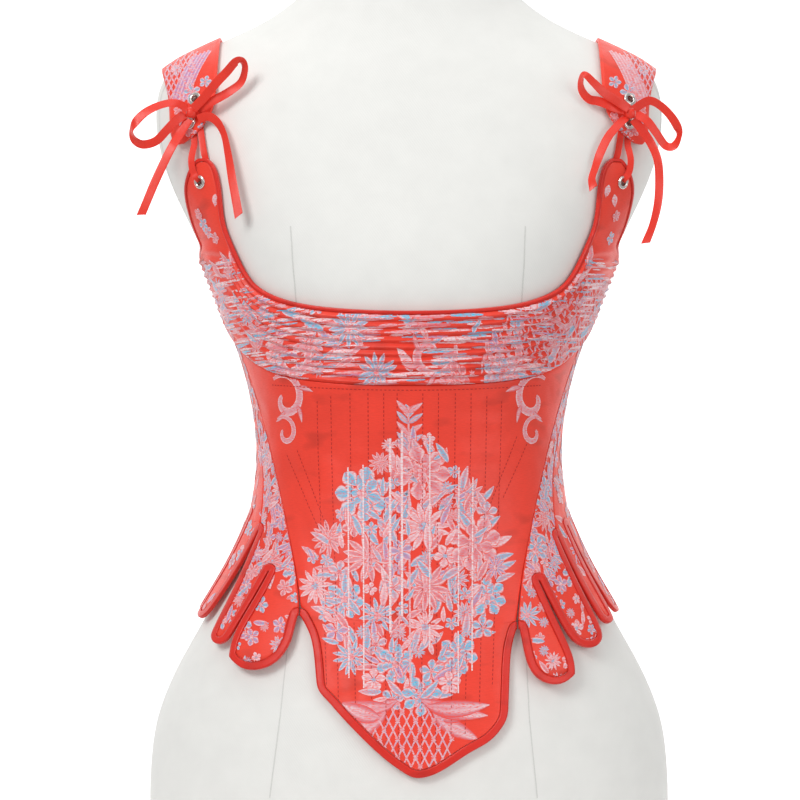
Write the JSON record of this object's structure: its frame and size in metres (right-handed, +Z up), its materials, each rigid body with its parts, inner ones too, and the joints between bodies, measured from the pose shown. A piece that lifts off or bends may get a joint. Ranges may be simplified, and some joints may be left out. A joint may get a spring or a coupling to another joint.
{
  "type": "corset top on a dress form",
  "caption": "A red brocade corset top with a corded bust band, a pointed tabbed hem and ribbon bows on its straps, worn on a limbless cloth dress form",
  "frame": {"origin": "on the ground under the middle of the form's flat base", "axes": "+Z up along the form's height, the longest side of the part; the front faces -Y; the garment's left-hand side in the picture is -X"},
  "size_m": [0.3928, 0.2562, 0.735],
  "materials": {
    "form cloth": "off-white tightly woven twill over padding",
    "brocade": "scarlet satin brocade with pink, white and blue flowers",
    "satin binding": "plain scarlet satin, soft sheen",
    "ribbon": "bright red satin ribbon",
    "eyelet metal": "nickel-plated rolled metal"
  },
  "bodies": {
    "root": {"dress_form": "form cloth", "front_centre": "brocade", "side_L": "brocade", "side_R": "brocade", "back_L": "brocade", "back_R": "brocade", "bust_band": "brocade", "strap_L": "brocade", "strap_R": "brocade", "front_binding": "satin binding", "side_binding_L": "satin binding", "side_binding_R": "satin binding", "back_binding_L": "satin binding", "back_binding_R": "satin binding", "neckline_binding": "satin binding", "armhole_binding_L": "satin binding", "armhole_binding_R": "satin binding", "back_neck_binding_L": "satin binding", "back_neck_binding_R": "satin binding", "eyelet_tab_L": "eyelet metal", "eyelet_tab_R": "eyelet metal", "eyelet_strap_low_L": "eyelet metal", "eyelet_strap_low_R": "eyelet metal", "eyelet_strap_high_L": "eyelet metal", "eyelet_strap_high_R": "eyelet metal", "bow_loop_out_L": "ribbon", "bow_loop_out_R": "ribbon", "bow_loop_in_L": "ribbon", "bow_loop_in_R": "ribbon", "bow_tail_out_L": "ribbon", "bow_tail_out_R": "ribbon", "bow_tail_in_L": "ribbon", "bow_tail_in_R": "ribbon", "lace_front_L": "ribbon", "lace_front_R": "ribbon", "lace_behind_L": "ribbon", "lace_behind_R": "ribbon", "bow_knot_L": "ribbon", "bow_knot_R": "ribbon"}
  },
  "joints": []
}
